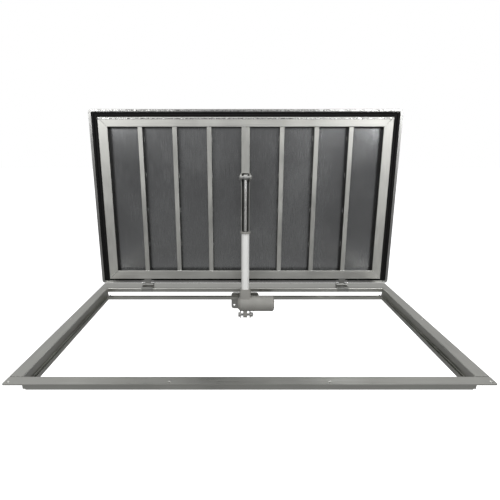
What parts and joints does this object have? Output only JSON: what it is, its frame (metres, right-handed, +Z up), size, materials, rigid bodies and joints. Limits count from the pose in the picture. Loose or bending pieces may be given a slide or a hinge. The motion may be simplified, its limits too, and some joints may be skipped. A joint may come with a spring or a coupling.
{
  "type": "deck hatch",
  "caption": "Flush-mounted deck hatch with a flanged gutter frame, a ribbed and gasketed lid on rear hinges, and an electric lifting actuator.",
  "frame": {"origin": "centre of the four corner screws, on the flange's underside, where it meets the deck", "axes": "+Z up out of the deck, +Y from the lid's free edge to its hinges, +X along the longest side"},
  "size_m": [1.5, 0.925, 1.0025],
  "materials": {
    "frame_metal": "brushed",
    "bracket_steel": "satin",
    "hinge_steel": "satin",
    "bolt_steel": "bright",
    "lid_panel": "brushed",
    "rim_metal": "brushed",
    "gasket_rubber": "matte",
    "tube_metal": "satin",
    "gearbox_paint": "satin",
    "motor_paint": "satin",
    "tube_white": "gloss",
    "rod_chrome": "polished"
  },
  "bodies": {
    "frame": {"frame_front": "frame_metal", "frame_rear": "frame_metal", "frame_left": "frame_metal", "frame_right": "frame_metal", "gutter_front": "frame_metal", "gutter_rear": "frame_metal", "gutter_left": "frame_metal", "gutter_right": "frame_metal", "actuator_plate": "bracket_steel", "low_ear_left": "bracket_steel", "low_ear_right": "bracket_steel", "hinge_base_left": "hinge_steel", "hinge_base_right": "hinge_steel", "hinge_pin_left": "hinge_steel", "hinge_pin_right": "hinge_steel", "low_bolt": "bolt_steel", "low_nut": "bolt_steel"},
    "lid": {"lid_skin": "lid_panel", "rim_front": "rim_metal", "rim_rear": "rim_metal", "rim_left": "rim_metal", "rim_right": "rim_metal", "gasket_front": "gasket_rubber", "gasket_rear": "gasket_rubber", "gasket_left": "gasket_rubber", "gasket_right": "gasket_rubber", "tube_front": "tube_metal", "tube_rear": "tube_metal", "tube_left": "tube_metal", "tube_right": "tube_metal", "rib_1_left": "tube_metal", "rib_1_right": "tube_metal", "rib_2_left": "tube_metal", "rib_2_right": "tube_metal", "rib_3_left": "tube_metal", "rib_3_right": "tube_metal", "spine_tube": "tube_metal", "spine_channel": "tube_metal", "hinge_leaf_left": "hinge_steel", "hinge_leaf_right": "hinge_steel", "top_ear_left": "bracket_steel", "top_ear_right": "bracket_steel", "top_bolt_left": "bolt_steel", "top_bolt_right": "bolt_steel"},
    "actuator": {"gearbox_housing": "gearbox_paint", "motor_housing": "motor_paint", "motor_cap": "motor_paint", "outer_tube": "tube_white", "tube_collar": "gearbox_paint"},
    "rod": {"piston_rod": "rod_chrome", "rod_eye": "rod_chrome", "eye_pin": "bolt_steel"}
  },
  "joints": [
    {"name": "lid_hinge", "type": "hinge", "parent": "frame", "child": "lid", "pos_m": [0, 0.4105, 0.015], "axis": [-1, 0, 0], "range_deg": [-91, 0]},
    {"name": "actuator_tilt", "type": "hinge", "parent": "frame", "child": "actuator", "pos_m": [0, 0.2975, -0.106], "axis": [-1, 0, 0], "range_deg": [-87.39, 0]},
    {"name": "rod_slide", "type": "slide", "parent": "actuator", "child": "rod", "axis": [0, 0.0941, 0.9956], "range_m": [-0.2338, 0]}
  ],
  "couplings": [
    {"joint": "actuator_tilt", "follows": "lid_hinge", "ratio": 0.95983},
    {"joint": "rod_slide", "follows": "lid_hinge", "m_per_rad": 0.14707}
  ]
}
